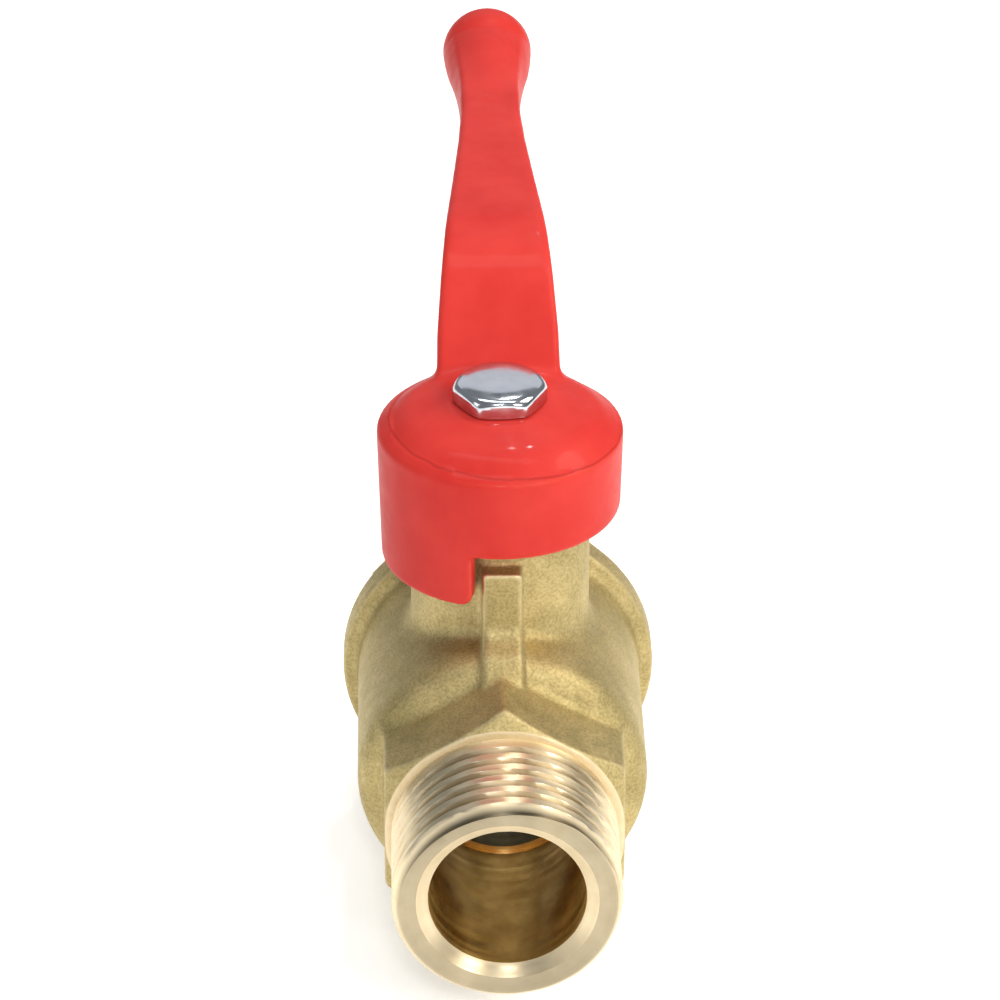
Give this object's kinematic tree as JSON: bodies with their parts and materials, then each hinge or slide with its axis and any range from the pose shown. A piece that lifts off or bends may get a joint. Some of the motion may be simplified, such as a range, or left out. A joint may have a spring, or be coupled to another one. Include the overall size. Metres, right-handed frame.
{
  "type": "ball valve",
  "caption": "Small brass ball valve with a male threaded end, a female threaded end and a red ball-ended lever that turns a quarter turn to shut the bore.",
  "frame": {"origin": "centre of the male end's face, on the pipe axis, where the fitting that holds the valve begins", "axes": "+Y along the pipe axis from the male end to the female end, +Z along the stem towards the lever"},
  "size_m": [0.03, 0.0975, 0.0607],
  "materials": {
    "forged_brass": "satin, shot-blasted forging with machined threads",
    "turned_brass": "machined",
    "ball_chrome": "polished chrome plate",
    "screw_chrome": "bright plated",
    "ptfe": "white PTFE",
    "seal_rubber": "black nitrile",
    "red_paint": "glossy red lacquer on a die casting"
  },
  "bodies": {
    "body": {"valve_body": "forged_brass", "end_adapter": "forged_brass", "body_joint_seal": "seal_rubber", "inlet_seat": "ptfe", "outlet_seat": "ptfe", "stem_thrust_washer": "ptfe", "packing_ring_lower": "ptfe", "packing_ring_upper": "ptfe", "gland_follower": "turned_brass", "gland_nut": "turned_brass"},
    "handle": {"lever": "red_paint", "lever_screw": "screw_chrome", "stem": "turned_brass", "stem_o_ring": "seal_rubber"},
    "ball": {"ball": "ball_chrome"}
  },
  "joints": [
    {"name": "lever_turn", "type": "hinge", "parent": "body", "child": "handle", "pos_m": [0, 0.032, 0.02], "axis": [0, 0, 1], "range_deg": [-90, 0]},
    {"name": "ball_turn", "type": "hinge", "parent": "body", "child": "ball", "pos_m": [0, 0.032, 0], "axis": [0, 0, 1], "range_deg": [-90, 0]}
  ],
  "couplings": [
    {"joint": "ball_turn", "follows": "lever_turn", "ratio": 1}
  ]
}
